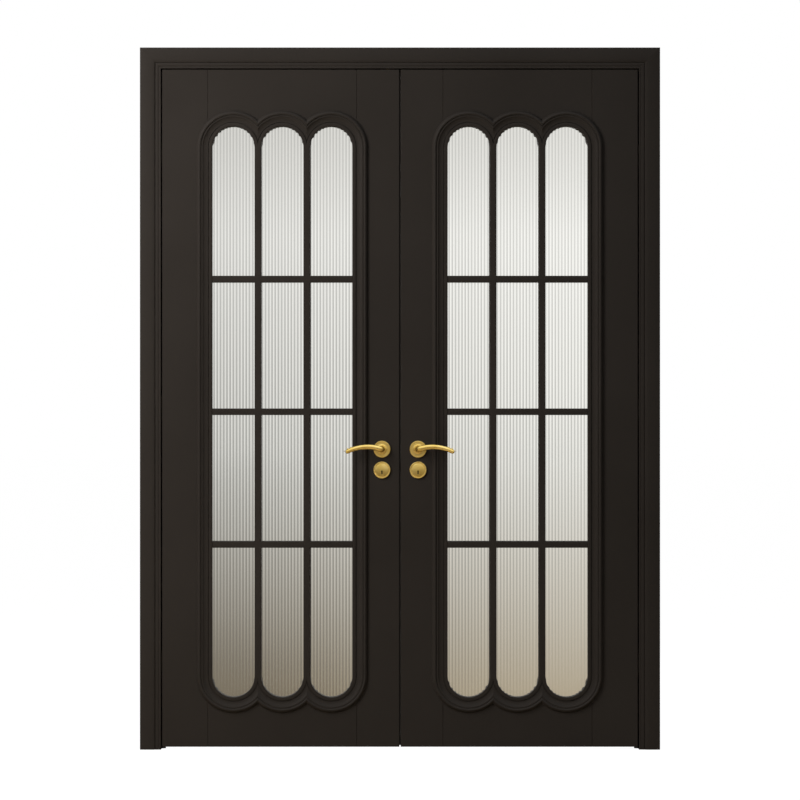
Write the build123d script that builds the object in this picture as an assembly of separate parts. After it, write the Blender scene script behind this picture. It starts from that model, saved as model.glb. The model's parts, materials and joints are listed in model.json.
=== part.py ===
from build123d import *
from math import cos, pi, radians, sin
import os

# French doors: a pair of glazed leaves with scalloped mouldings, in a lined and cased frame.
# Millimetres. X runs across the doorway, Y from front to back, Z up from the floor.
# The origin is on the floor, in the middle of the whole part's width and depth.

# Frame
frame_width = 1612.0
frame_height = 2176.0
wall_thickness = 120.0
jamb_thickness = 38.0
casing_width = 65.0
stop_reach = 12.0
stop_thickness = 14.0
seal_width = 8.0
seal_thickness = 3.2
seal_clearance = 0.3
fixing_hole_diameter = 8.0
fixing_bottom_distance = 260.0
fixing_top_distance = 251.0
fixing_setback = 26.0

# Casing section, from its inner edge outwards
casing_lip_width = 6.0
casing_lip_thickness = 8.5
casing_quirk_width = 1.6
casing_quirk_thickness = 6.8
casing_bead_width = 9.4
casing_bead_thickness = 10.5
casing_field_thickness = 12.0
casing_crown_thickness = 13.9
casing_edge_thickness = 9.0
casing_edge_width = 2.5
casing_arris = 1.2

# Leaves
leaf_thickness = 40.0
leaf_proud = 6.0
side_gap = 3.5
head_gap = 3.5
meeting_gap = 4.0
floor_gap = 8.5
leaf_arris = 1.2
meeting_seal_width = 6.0
meeting_seal_setback = 2.0
meeting_seal_clearance = 1.6
meeting_seal_top_cut = 11.0
meeting_seal_bottom_cut = 5.0

# Lights and mouldings
hinge_stile_width = 155.75
lock_stile_width = 145.75
top_rail_height = 175.5
bottom_rail_height = 153.5
bar_width = 20.5
bar_height = 4.0
light_columns = 3
lobe_sides = 36
light_rows = 4
end_row_extra = 62.2
tongue_width = 14.0
tongue_depth = 16.0
tongue_clearance = 0.4
rail_cover = 7.0
band_width = 32.0
crown_width = 7.0
crown_height = 10.5
moulding_edge_width = 12.0

# Fluted glass
glass_clearance = 1.2
flute_pitch = 10.0
flute_depth = 0.7
flute_clearance = 0.3

# Concealed hinges: curved links that slide into both hinge bodies, centred on the swing axis
hinge_end_distance = 260.0
hinge_body_height = 116.0
hinge_radius = 24.0
hinge_link_thickness = 5.0
hinge_link_height = 72.0
hinge_link_sweep = 61.0
hinge_link_steps = 8
hinge_wall = 2.5
hinge_clearance = 0.3

# Lever furniture
lock_height = 931.0
backset = 54.0
rose_diameter = 52.0
rose_sides = 28
bore_sides = 12
rose_thickness = 8.0
spindle_side = 8.0
spindle_hold = 18.0
neck_diameter = 16.0
neck_clearance = 0.4
neck_seat = 0.5
lever_stand_off = 34.0
lever_thickness = 12.0
lever_length = 113.0
lever_hub_radius = 8.5
lever_tip_radius = 6.0
lever_rise = 9.5
lever_tip_drop = 4.0
lever_edge_steps = 8
lever_end_steps = 6

# Keyholes
keyhole_drop = 64.5
keyhole_sink = 7.0
keyhole_width = 4.0
keyhole_height = 12.0

# Lock in the right leaf, bolt gear in the left leaf
case_thickness = 15.0
case_depth = 80.0
case_above_spindle = 50.0
case_below_spindle = 110.0
follower_diameter = 14.0
plate_thickness = 3.0
plate_width = 20.0
plate_margin = 18.0
bolt_thickness = 11.0
bolt_clearance = 0.2
bolt_nose = 3.0
latch_height = 20.0
latch_length = 42.0
deadbolt_height = 24.0
deadbolt_length = 38.0
strike_clearance = 1.0
strike_pocket = 23.0
rod_side = 10.0
rod_setback = 36.0
rod_clearance = 0.3
keeper_thickness = 2.0
keeper_length = 44.0
keeper_width = 18.0
keeper_hole_clearance = 0.6
keeper_pocket = 22.0

overrun = 5.0

# Places worked out from the sizes above
half_frame = frame_width / 2
half_opening = half_frame - casing_width
opening_height = frame_height - casing_width
front_reach = leaf_proud + lever_stand_off + lever_thickness
lining_middle = (front_reach - casing_crown_thickness) / 2
lining_front = lining_middle - wall_thickness / 2
lining_back = lining_middle + wall_thickness / 2
leaf_front = lining_front - leaf_proud
leaf_back = leaf_front + leaf_thickness
leaf_middle = (leaf_front + leaf_back) / 2
leaf_bottom = floor_gap
leaf_top = opening_height - head_gap
hinge_edge = -half_opening + side_gap
lock_edge = -meeting_gap / 2
leaf_width = lock_edge - hinge_edge
stop_front = leaf_back + seal_clearance + seal_thickness
stop_back = stop_front + stop_thickness
lowest_fixing = fixing_bottom_distance
highest_fixing = opening_height - fixing_top_distance
fixing_heights = (lowest_fixing, (lowest_fixing + highest_fixing) / 2, highest_fixing)

glazed_width = leaf_width - hinge_stile_width - lock_stile_width
glazed_x = hinge_edge + hinge_stile_width + glazed_width / 2
glazed_bottom = leaf_bottom + bottom_rail_height
glazed_top = leaf_top - top_rail_height
glazed_height = glazed_top - glazed_bottom
glazed_centre_height = (glazed_top + glazed_bottom) / 2
row_pitch = (glazed_height - 2 * end_row_extra) / light_rows
light_width = (glazed_width - (light_columns - 1) * bar_width) / light_columns
light_radius = light_width / 2
light_pitch = light_width + bar_width
half_glazed = glazed_width / 2
light_centres = [(i - (light_columns - 1) / 2) * light_pitch for i in range(light_columns)]
spring_height = glazed_height / 2 - light_radius
half_light_opening = half_glazed + tongue_width
rail_edge_height = spring_height + light_radius + rail_cover
moulding_width = band_width + crown_width + moulding_edge_width
moulding_radius = light_radius + moulding_width
hinge_stile_edge = glazed_x - half_light_opening
lock_stile_edge = glazed_x + half_light_opening
top_rail_edge = glazed_centre_height + rail_edge_height
bottom_rail_edge = glazed_centre_height - rail_edge_height

swing_x = (hinge_edge - half_opening) / 2
swing_y = leaf_front
hinge_inner_radius = hinge_radius - hinge_link_thickness / 2
hinge_outer_radius = hinge_radius + hinge_link_thickness / 2
hinge_body_front = swing_y + hinge_inner_radius * cos(radians(hinge_link_sweep)) - hinge_wall
hinge_body_back = swing_y + hinge_outer_radius + hinge_wall
hinge_body_reach = (
    hinge_outer_radius * sin(radians(hinge_link_sweep)) + hinge_clearance + hinge_wall
)
hinge_heights = (
    leaf_bottom + hinge_end_distance,
    (leaf_bottom + leaf_top) / 2,
    leaf_top - hinge_end_distance,
)

spindle_x = lock_edge - backset
key_height = lock_height - keyhole_drop
case_top = lock_height + case_above_spindle
case_bottom = lock_height - case_below_spindle
case_face = lock_edge - plate_thickness
case_rear = case_face - case_depth
gear_face = case_face - strike_pocket
rod_x = lock_edge - rod_setback


def block(x0, x1, y0, y1, z0, z1):
    """A box between two corners."""
    return Pos(x0, y0, z0) * Box(x1 - x0, y1 - y0, z1 - z0, align=(Align.MIN,) * 3)


def prism_along_y(radius, sides, x, y0, y1, z):
    """A many-sided bar or bore from y0 to y1, that stands for a round one."""
    plane = Plane((x, y0, z), x_dir=(1, 0, 0), z_dir=(0, 1, 0))
    return extrude(plane * RegularPolygon(radius, sides), amount=y1 - y0, dir=(0, 1, 0))


def square_bar(side, x, y, z0, z1):
    """An upright square bar or bore about (x, y)."""
    return block(x - side / 2, x + side / 2, y - side / 2, y + side / 2, z0, z1)


def to_right(shape):
    """The same piece on the other side of the doorway."""
    return mirror(shape, about=Plane.YZ)


def to_leaf_back(shape):
    """The same piece on the other face of the leaf."""
    return mirror(shape, about=Plane.XZ.offset(-leaf_middle))


def to_lining_back(shape):
    """The same piece on the other face of the wall."""
    return mirror(shape, about=Plane.XZ.offset(-lining_middle))


# Frame


def casing_section():
    """The casing's moulded section: a lip and a bead beside the leaf, then a crowned field."""
    lip_end = casing_lip_width
    bead_start = lip_end + casing_quirk_width
    bead_end = bead_start + casing_bead_width
    field_start = bead_end + casing_quirk_width
    field_end = casing_width - casing_edge_width
    inner = Polyline(
        (field_end, casing_edge_thickness),
        (casing_width, casing_edge_thickness - casing_edge_width),
        (casing_width, 0),
        (0, 0),
        (0, casing_lip_thickness - casing_arris),
        (casing_arris, casing_lip_thickness),
        (lip_end, casing_lip_thickness),
        (lip_end, casing_quirk_thickness),
        (bead_start, casing_quirk_thickness),
        (bead_start, casing_bead_thickness - casing_arris),
        (bead_start + casing_arris, casing_bead_thickness),
        (bead_end - casing_arris, casing_bead_thickness),
        (bead_end, casing_bead_thickness - casing_arris),
        (bead_end, casing_quirk_thickness),
        (field_start, casing_quirk_thickness),
        (field_start, casing_field_thickness),
    )
    crown = ThreePointArc(
        (field_start, casing_field_thickness),
        ((field_start + field_end) / 2, casing_crown_thickness),
        (field_end, casing_edge_thickness),
    )
    return make_face(inner.edges() + crown.edges())


def casing_leg():
    """The front left casing, mitred at its top."""
    plane = Plane((-half_opening, lining_front, 0), x_dir=(-1, 0, 0), z_dir=(0, 0, 1))
    leg = extrude(plane * casing_section(), amount=frame_height, dir=(0, 0, 1))
    mitre = Plane((-half_opening, 0, opening_height), z_dir=(1, 0, 1))
    return split(leg, bisect_by=mitre, keep=Keep.BOTTOM)


def casing_head():
    """The front head casing, mitred at both ends."""
    plane = Plane((-half_frame, lining_front, opening_height), x_dir=(0, 0, 1), z_dir=(1, 0, 0))
    head = extrude(plane * casing_section(), amount=frame_width, dir=(1, 0, 0))
    for side in (-1, 1):
        mitre = Plane((side * half_opening, 0, opening_height), z_dir=(-side, 0, 1))
        head = split(head, bisect_by=mitre, keep=Keep.TOP)
    return head


def hinge_body(x0, x1, z):
    """One hinge body between two depths, before its slot is cut."""
    half_height = hinge_body_height / 2
    return block(x0, x1, hinge_body_front, hinge_body_back, z - half_height, z + half_height)


def hinge_pocket(x0, x1, z):
    """The space inside a hinge body that the curved link slides into."""
    half_height = hinge_link_height / 2 + hinge_clearance
    front = hinge_body_front + hinge_wall - hinge_clearance
    back = hinge_body_back - hinge_wall + hinge_clearance
    return block(x0, x1, front, back, z - half_height, z + half_height)


def frame_hinge_bodies():
    """The left jamb's three hinge bodies."""
    reach = swing_x - hinge_body_reach
    mouth = -half_opening
    return [
        hinge_body(reach, mouth, z) - hinge_pocket(reach + hinge_wall, mouth + overrun, z)
        for z in hinge_heights
    ]


def leaf_hinge_bodies():
    """The left leaf's three hinge bodies."""
    reach = swing_x + hinge_body_reach
    mouth = hinge_edge
    return [
        hinge_body(mouth, reach, z) - hinge_pocket(mouth - overrun, reach - hinge_wall, z)
        for z in hinge_heights
    ]


def hinge_links():
    """The left leaf's three curved hinge links, in short straight runs about the swing axis."""
    middle, sweep = radians(90.0), radians(hinge_link_sweep)
    turns = [middle + sweep * (2 * i / hinge_link_steps - 1) for i in range(hinge_link_steps + 1)]
    points = [(hinge_outer_radius * cos(turn), hinge_outer_radius * sin(turn)) for turn in turns]
    points += [(hinge_inner_radius * cos(turn), hinge_inner_radius * sin(turn)) for turn in reversed(turns)]
    link = extrude(make_face(Polyline(*points, close=True).edges()), amount=hinge_link_height)
    return [Pos(swing_x, swing_y, z - hinge_link_height / 2) * link for z in hinge_heights]


def jamb():
    """The left jamb: a lining board with its door stop, hinge mortises and wall-fixing holes."""
    outer_face = -half_opening - jamb_thickness
    board = block(outer_face, -half_opening, lining_front, lining_back, 0, opening_height)
    stop_top = opening_height - stop_reach
    board += block(-half_opening, -half_opening + stop_reach, stop_front, stop_back, 0, stop_top)
    for z in hinge_heights:
        board -= hinge_body(swing_x - hinge_body_reach, -half_opening, z)
    for z in fixing_heights:
        hole = Cylinder(fixing_hole_diameter / 2, jamb_thickness + 2 * overrun)
        middle = (outer_face - half_opening) / 2
        board -= Pos(middle, lining_middle + fixing_setback, z) * Rot(Y=90) * hole
    return board


def head_jamb():
    """The head lining over both jambs, with its stop and the top bolt's keeper pocket."""
    reach = half_opening + jamb_thickness
    board_top = opening_height + jamb_thickness
    board = block(-reach, reach, lining_front, lining_back, opening_height, board_top)
    stop_bottom = opening_height - stop_reach
    board += block(-half_opening, half_opening, stop_front, stop_back, stop_bottom, opening_height)
    board -= keeper_blank()
    return board - keeper_hole(opening_height, opening_height + keeper_pocket)


def keeper_blank():
    """The outline of the top bolt's keeper plate, let into the head."""
    half_length, half_width = keeper_length / 2, keeper_width / 2
    return block(
        rod_x - half_length,
        rod_x + half_length,
        leaf_middle - half_width,
        leaf_middle + half_width,
        opening_height,
        opening_height + keeper_thickness,
    )


def keeper_hole(z0, z1):
    """The square hole that the top bolt enters."""
    return square_bar(rod_side + 2 * keeper_hole_clearance, rod_x, leaf_middle, z0, z1)


def top_bolt_keeper():
    """The keeper plate with its bolt hole."""
    plate_top = opening_height + keeper_thickness
    return keeper_blank() - keeper_hole(opening_height - overrun, plate_top + overrun)


def frame_seal():
    """The compression seal on the faces of the stops, in one run up, across and down."""
    back = stop_front
    front = back - seal_thickness
    outer = half_opening
    seal_top = opening_height
    loop = block(-outer, outer, front, back, seal_top - seal_width, seal_top)
    for x0, x1 in ((-outer, -outer + seal_width), (outer - seal_width, outer)):
        loop += block(x0, x1, front, back, 0, seal_top)
    return loop


# Leaves, built for the left leaf


def eased(bar):
    """Eases the four upright edges of a stile or rail, so that their joints show as fine grooves."""
    return chamfer(bar.edges().filter_by(Axis.Z), leaf_arris)


def hinge_stile():
    """The stile that carries the hinges."""
    stile = eased(
        block(hinge_edge, hinge_stile_edge, leaf_front, leaf_back, leaf_bottom, leaf_top)
    )
    for z in hinge_heights:
        stile -= hinge_body(hinge_edge, swing_x + hinge_body_reach, z)
    return stile


def case_blank(x0, x1):
    """A lock or gear case between two depths from the lock edge."""
    half = case_thickness / 2
    return block(x0, x1, leaf_middle - half, leaf_middle + half, case_bottom, case_top)


def plate_blank():
    """The plate let into the lock edge over the case."""
    half = plate_width / 2
    return block(
        case_face,
        lock_edge,
        leaf_middle - half,
        leaf_middle + half,
        case_bottom - plate_margin,
        case_top + plate_margin,
    )


def keyhole(y0, y1):
    """A keyhole slot from y0 to y1."""
    half_width, half_height = keyhole_width / 2, keyhole_height / 2
    middle = key_height - keyhole_sink
    return block(
        spindle_x - half_width,
        spindle_x + half_width,
        y0,
        y1,
        middle - half_height,
        middle + half_height,
    )


def spindle_bore():
    """The spindle's bore, right through the leaf."""
    front, back = leaf_front - overrun, leaf_back + overrun
    return prism_along_y(follower_diameter / 2, bore_sides, spindle_x, front, back, lock_height)


def lock_stile():
    """The stile at the meeting edge, mortised for the case, its plate and the furniture."""
    stile = eased(block(lock_stile_edge, lock_edge, leaf_front, leaf_back, leaf_bottom, leaf_top))
    stile -= spindle_bore() + keyhole(leaf_front - overrun, leaf_back + overrun)
    return stile - case_blank(case_rear, case_face) - plate_blank()


def bolt_rod_bores():
    """The bores for the top and bottom bolts."""
    side = rod_side + 2 * rod_clearance
    upper = square_bar(side, rod_x, leaf_middle, case_top, leaf_top + overrun)
    return upper + square_bar(side, rod_x, leaf_middle, leaf_bottom - overrun, case_bottom)


def rail(z0, z1):
    """A top or bottom rail between the stiles."""
    return eased(block(hinge_stile_edge, lock_stile_edge, leaf_front, leaf_back, z0, z1))


def moulding_ring():
    """The moulding about one light, all the way round: a band beside the glass, then a raised crown."""
    band_radius = light_radius + band_width
    foot = Plane((0, 0, 0), x_dir=(1, 0, 0), z_dir=(0, 1, 0))
    top = Plane((0, -crown_height, 0), x_dir=(1, 0, 0), z_dir=(0, 1, 0))
    crown = loft(
        [
            foot * RegularPolygon(moulding_radius, lobe_sides),
            top * RegularPolygon(band_radius + crown_width, lobe_sides),
        ]
    )
    above = -crown_height - overrun
    return crown - prism_along_y(band_radius, lobe_sides, 0, above, -bar_height, 0)


def moulding_arch():
    """The scalloped top of the moulding, about the middle of the glazing, with its tongue."""
    ring = moulding_ring()
    reach = moulding_radius + overrun
    half_pitch = light_pitch / 2
    half_tongue = half_light_opening - tongue_clearance
    tongue_top = rail_edge_height - tongue_clearance
    arch = block(-half_tongue, half_tongue, 0, tongue_depth, spring_height, tongue_top)
    for i, x in enumerate(light_centres):
        left = reach if i == 0 else half_pitch
        right = reach if i == light_columns - 1 else half_pitch
        lobe = ring & block(-left, right, -reach, reach, 0, reach)
        arch += Pos(x, 0, spring_height) * lobe
    for x in light_centres:
        arch -= prism_along_y(light_radius, lobe_sides, x, -reach, reach, spring_height)
    return arch


def moulding_side():
    """The straight left side of the moulding, between the scalloped ends."""
    band_end = half_glazed + band_width
    crown_end = band_end + crown_width
    points = [
        (half_glazed, tongue_depth),
        (half_glazed, -bar_height),
        (band_end, -bar_height),
        (band_end, -crown_height),
        (crown_end, -crown_height),
        (crown_end + moulding_edge_width, 0),
        (half_light_opening - tongue_clearance, 0),
        (half_light_opening - tongue_clearance, tongue_depth),
    ]
    section = make_face(Polyline(*points, close=True).edges())
    side = extrude(section, amount=2 * spring_height, dir=(0, 0, 1))
    return mirror(Pos(0, 0, -spring_height) * side, about=Plane.YZ)


def moulding():
    """The front moulding of the left leaf, as its two sides and two scalloped ends."""
    arch, side = moulding_arch(), moulding_side()
    pieces = [arch, mirror(arch, about=Plane.XY), side, mirror(side, about=Plane.YZ)]
    return [Pos(glazed_x, leaf_front, glazed_centre_height) * piece for piece in pieces]


def glazing_bars():
    """The front grid of the left leaf: upright bars between the arches, and cross bars."""
    half_bar = bar_width / 2
    grid = None
    for row in range(1, light_rows):
        z = (row - light_rows / 2) * row_pitch
        bar = block(-half_glazed, half_glazed, -bar_height, tongue_depth, z - half_bar, z + half_bar)
        grid = bar if grid is None else grid + bar
    for left, right in zip(light_centres, light_centres[1:]):
        x = (left + right) / 2
        span = (-spring_height, spring_height)
        grid += block(x - half_bar, x + half_bar, -bar_height, tongue_depth, *span)
    return Pos(glazed_x, leaf_front, glazed_centre_height) * grid


def fluted_glass():
    """The left leaf's one pane: flat at the back, with upright flutes at the front."""
    half_width = half_light_opening - glass_clearance
    half_height = rail_edge_height - glass_clearance
    back = leaf_back - tongue_depth
    crest = leaf_front + tongue_depth + flute_clearance
    root = crest + flute_depth
    flute_count = round(2 * half_width / flute_pitch)
    pitch = 2 * half_width / flute_count
    points = [(half_width, back), (-half_width, back)]
    for i in range(flute_count):
        x = -half_width + i * pitch
        points += [(x, root), (x + pitch / 2, crest)]
    points.append((half_width, root))
    section = make_face(Polyline(*points, close=True).edges())
    pane = extrude(section, amount=2 * half_height, dir=(0, 0, 1))
    return Pos(glazed_x, 0, glazed_centre_height - half_height) * pane


def meeting_seal():
    """The dark strip on the left leaf's meeting edge that closes the gap between the leaves."""
    front = leaf_front + meeting_seal_setback
    return block(
        lock_edge,
        lock_edge + meeting_gap - meeting_seal_clearance,
        front,
        front + meeting_seal_width,
        leaf_bottom + meeting_seal_bottom_cut,
        leaf_top - meeting_seal_top_cut,
    )


# Lever furniture, built for the front of the left leaf


def furniture_disc(z):
    """A round rose before its hole is cut."""
    face = leaf_front - rose_thickness
    return prism_along_y(rose_diameter / 2, rose_sides, spindle_x, face, leaf_front, z)


def roses():
    """The front and back lever roses of one leaf."""
    hole_radius = neck_diameter / 2 + neck_clearance
    front, back = leaf_front - rose_thickness - overrun, leaf_front + overrun
    hole = prism_along_y(hole_radius, bore_sides, spindle_x, front, back, lock_height)
    rose = furniture_disc(lock_height) - hole
    return [rose, to_leaf_back(rose)]


def escutcheons():
    """The front and back keyhole roses of one leaf."""
    slot = keyhole(leaf_front - rose_thickness - overrun, leaf_front + overrun)
    escutcheon = furniture_disc(key_height) - slot
    return [escutcheon, to_leaf_back(escutcheon)]


def lever_outline():
    """The lever seen from the front: a hub, a grip that bows upwards, and a rounded tip."""
    tip = Vector(-lever_length + lever_tip_radius, -lever_tip_drop)
    spine = ThreePointArc((0, 0), tip / 2 + Vector(0, lever_rise), tip)

    def beside(share, turn):
        ahead = spine % share
        across = Vector(-ahead.Y, ahead.X)
        radius = lever_hub_radius + (lever_tip_radius - lever_hub_radius) * share
        return (spine @ share) + (ahead * cos(turn) + across * sin(turn)) * radius

    shares = [i / lever_edge_steps for i in range(lever_edge_steps + 1)]
    turns = [pi * (i / lever_end_steps - 1 / 2) for i in range(1, lever_end_steps)]
    outline = [beside(share, -pi / 2) for share in shares]
    outline += [beside(1, turn) for turn in turns]
    outline += [beside(share, pi / 2) for share in reversed(shares)]
    outline += [beside(0, pi + turn) for turn in turns]
    return make_face(Polyline(*outline, close=True).edges())


def lever():
    """The front lever: its grip, its round neck and the square socket for the spindle."""
    grip_back = leaf_front - lever_stand_off
    plane = Plane((spindle_x, grip_back, lock_height), x_dir=(1, 0, 0), z_dir=(0, -1, 0))
    grip = extrude(plane * lever_outline(), amount=lever_thickness, dir=(0, -1, 0))
    neck_radius = neck_diameter / 2
    neck_foot = leaf_front - neck_seat
    neck = prism_along_y(neck_radius, bore_sides, spindle_x, grip_back, neck_foot, lock_height)
    return grip + neck - spindle()


def spindle():
    """The square bar that joins a leaf's two levers."""
    half = spindle_side / 2
    reach = rose_thickness + spindle_hold
    return block(
        spindle_x - half,
        spindle_x + half,
        leaf_front - reach,
        leaf_back + reach,
        lock_height - half,
        lock_height + half,
    )


# Lock and bolts, built at the left leaf's lock edge


def bolt(length, height, z):
    """A latch or dead bolt, drawn in until its nose is flush with the lock edge."""
    half_thickness, half_height = bolt_thickness / 2, height / 2
    bar = block(
        lock_edge - length,
        lock_edge,
        leaf_middle - half_thickness,
        leaf_middle + half_thickness,
        z - half_height,
        z + half_height,
    )
    nose = bar.faces().sort_by(Axis.X)[-1]
    return chamfer(nose.edges().filter_by(Axis.Z), bolt_nose)


def bolt_way(length, height, z, clearance):
    """The straight way that a bolt runs in, out through the lock edge."""
    half_thickness = bolt_thickness / 2 + clearance
    half_height = height / 2 + clearance
    return block(
        lock_edge - length - clearance,
        lock_edge + overrun,
        leaf_middle - half_thickness,
        leaf_middle + half_thickness,
        z - half_height,
        z + half_height,
    )


def bolt_ways(clearance):
    """The ways of the latch and the dead bolt."""
    latch = bolt_way(latch_length, latch_height, lock_height, clearance)
    return latch + bolt_way(deadbolt_length, deadbolt_height, key_height, clearance)


def lock_case():
    """The mortise lock's case, with the ways of its bolts."""
    return case_blank(case_rear, case_face) - bolt_ways(bolt_clearance) - spindle_bore()


def lock_forend():
    """The lock's face plate."""
    return plate_blank() - bolt_ways(bolt_clearance)


def strike_plate():
    """The plate on the other leaf's edge that the bolts enter."""
    return plate_blank() - bolt_ways(strike_clearance)


def bolt_gear_case():
    """The case that turns the left levers' motion into the throw of the top and bottom bolts."""
    return case_blank(case_rear, gear_face) - spindle_bore()


def bolt_rod(z0, z1):
    """A top or bottom bolt, drawn in until its end is flush with the leaf."""
    return square_bar(rod_side, rod_x, leaf_middle, z0, z1)


def frame_nodes():
    """The fixed frame."""
    leg, head, left_jamb, bodies = casing_leg(), casing_head(), jamb(), frame_hinge_bodies()
    return {
        "left_jamb": left_jamb,
        "right_jamb": to_right(left_jamb),
        "head_jamb": head_jamb(),
        "front_casing_left": leg,
        "front_casing_right": to_right(leg),
        "front_casing_head": head,
        "rear_casing_left": to_lining_back(leg),
        "rear_casing_right": to_right(to_lining_back(leg)),
        "rear_casing_head": to_lining_back(head),
        "frame_seal": frame_seal(),
        "left_frame_hinge_bodies": bodies,
        "right_frame_hinge_bodies": [to_right(body) for body in bodies],
        "top_bolt_keeper": top_bolt_keeper(),
    }


def leaf_nodes():
    """What both leaves have, for the left leaf."""
    front_moulding, front_bars, front_lever = moulding(), glazing_bars(), lever()
    return {
        "hinge_stile": hinge_stile(),
        "lock_stile": lock_stile(),
        "top_rail": rail(top_rail_edge, leaf_top),
        "bottom_rail": rail(leaf_bottom, bottom_rail_edge),
        "front_moulding": front_moulding,
        "rear_moulding": [to_leaf_back(piece) for piece in front_moulding],
        "front_glazing_bars": front_bars,
        "rear_glazing_bars": to_leaf_back(front_bars),
        "fluted_glass": fluted_glass(),
        "leaf_hinge_bodies": leaf_hinge_bodies(),
        "hinge_links": hinge_links(),
        "roses": roses(),
        "escutcheons": escutcheons(),
        "front_lever": front_lever,
        "rear_lever": to_leaf_back(front_lever),
        "spindle": spindle(),
    }


def left_only_nodes():
    """The bolt gear of the left leaf."""
    return {
        "left_meeting_seal": meeting_seal(),
        "left_strike_plate": strike_plate(),
        "left_bolt_gear_case": bolt_gear_case(),
        "left_top_bolt": bolt_rod(case_top, leaf_top),
        "left_bottom_bolt": bolt_rod(leaf_bottom, case_bottom),
    }


def right_only_nodes():
    """The mortise lock of the right leaf."""
    return {
        "right_lock_case": to_right(lock_case()),
        "right_lock_forend": to_right(lock_forend()),
        "right_latch_bolt": to_right(bolt(latch_length, latch_height, lock_height)),
        "right_dead_bolt": to_right(bolt(deadbolt_length, deadbolt_height, key_height)),
    }


def all_nodes():
    """Every piece by its name: one solid, or a list of like solids."""
    nodes = frame_nodes()
    for name, piece in leaf_nodes().items():
        solids = piece if isinstance(piece, list) else [piece]
        nodes["left_" + name] = solids
        nodes["right_" + name] = [to_right(solid) for solid in solids]
    nodes["left_lock_stile"] = [nodes["left_lock_stile"][0] - bolt_rod_bores()]
    nodes.update(left_only_nodes())
    nodes.update(right_only_nodes())
    return nodes


os.makedirs("parts", exist_ok=True)
for name, piece in all_nodes().items():
    pieces = piece if isinstance(piece, list) else [piece]
    solids = [solid for item in pieces for solid in item.solids()]
    node = solids[0] if len(solids) == 1 else Compound(children=solids)
    export_step(node, os.path.join("parts", name + ".step"))
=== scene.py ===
import json
import math
from typing import NamedTuple

import bmesh
import bpy
from bpy.props import FloatProperty, FloatVectorProperty, IntProperty, PointerProperty
from bpy.types import NodeSocket, Operator, Panel, PropertyGroup
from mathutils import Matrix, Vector

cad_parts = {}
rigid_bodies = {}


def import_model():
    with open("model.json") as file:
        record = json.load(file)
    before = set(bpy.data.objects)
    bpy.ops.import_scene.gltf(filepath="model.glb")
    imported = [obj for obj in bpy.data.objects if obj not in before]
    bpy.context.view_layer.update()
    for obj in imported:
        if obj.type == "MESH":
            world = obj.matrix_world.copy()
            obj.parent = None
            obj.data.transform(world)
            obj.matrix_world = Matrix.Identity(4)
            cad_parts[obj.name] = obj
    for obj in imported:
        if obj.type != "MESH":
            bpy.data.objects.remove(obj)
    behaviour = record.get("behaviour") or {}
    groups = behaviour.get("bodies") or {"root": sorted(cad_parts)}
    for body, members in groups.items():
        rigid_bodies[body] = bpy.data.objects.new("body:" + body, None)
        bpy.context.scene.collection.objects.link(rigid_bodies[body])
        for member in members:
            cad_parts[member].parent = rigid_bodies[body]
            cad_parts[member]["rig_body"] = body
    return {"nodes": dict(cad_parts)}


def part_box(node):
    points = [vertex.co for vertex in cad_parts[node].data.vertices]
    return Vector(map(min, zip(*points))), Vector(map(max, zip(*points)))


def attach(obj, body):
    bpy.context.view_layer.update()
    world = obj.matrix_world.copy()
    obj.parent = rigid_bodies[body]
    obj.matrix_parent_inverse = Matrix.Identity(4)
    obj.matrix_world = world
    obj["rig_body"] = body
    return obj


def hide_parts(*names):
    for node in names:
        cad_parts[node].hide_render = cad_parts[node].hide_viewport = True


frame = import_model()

bl_info = {
    "name": "Scalloped French Doors",
    "version": (1, 0, 0),
    "blender": (4, 5, 0),
    "location": "View3D > Sidebar > French Doors",
    "description": "Dresses a pair of fluted-glass doors and their cased frame",
    "category": "Object",
}

LIGHT_COLUMNS = 3
LIGHT_ROWS = 4
SIDES = ("left", "right")
FACES = ("front", "rear")
LEAF_FACES = [(side, face) for side in SIDES for face in FACES]

# Points nearer than this, in metres, are one point
MERGE_DISTANCE = 1e-6

# Edges that bend by more than this, in degrees, stay sharp
PLAIN_ANGLE = 35.0
TRIM_ANGLE = 28.0
ROUND_ANGLE = 40.0
LEVER_ANGLE = 50.0

# Places read from the frame, in metres
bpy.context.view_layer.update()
leaf_low, leaf_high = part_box("left_hinge_stile")
bars_low, bars_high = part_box("left_front_glazing_bars")
trim_low, trim_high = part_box("left_front_moulding")
head_low, head_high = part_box("front_casing_head")
lining_low, lining_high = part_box("head_jamb")
lever_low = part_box("left_front_lever")[0]
spindle_low, spindle_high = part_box("left_spindle")
rose_low, rose_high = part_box("left_roses")
plate_low, plate_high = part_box("left_escutcheons")

half_glazed = (bars_high.x - bars_low.x) / 2
spring_height = (bars_high.z - bars_low.z) / 2
glazed_x = (bars_low.x + bars_high.x) / 2
glazed_z = (bars_low.z + bars_high.z) / 2
bead_height = leaf_low.y - bars_low.y
tongue_depth = bars_high.y - leaf_low.y
moulding_width = (trim_high.x - trim_low.x) / 2 - half_glazed
moulding_height = leaf_low.y - trim_low.y
light_radius = trim_high.z - glazed_z - spring_height - moulding_width
light_pitch = (half_glazed - light_radius) * 2 / (LIGHT_COLUMNS - 1)
half_bar = light_pitch / 2 - light_radius

spindle_x = (spindle_low.x + spindle_high.x) / 2
lock_height = (spindle_low.z + spindle_high.z) / 2
key_height = (plate_low.z + plate_high.z) / 2
rose_radius = (rose_high.x - rose_low.x) / 2
rose_thickness = leaf_low.y - rose_low.y
lever_reach = spindle_x - lever_low.x
lever_front = leaf_low.y - lever_low.y

half_opening = -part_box("front_casing_left")[1].x
opening_height = head_low.z
casing_width = head_high.z - head_low.z
casing_crown = lining_low.y - head_low.y

# Share of a keyhole plate's radius inside which its slot lies
SLOT_REACH = 0.9


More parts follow.
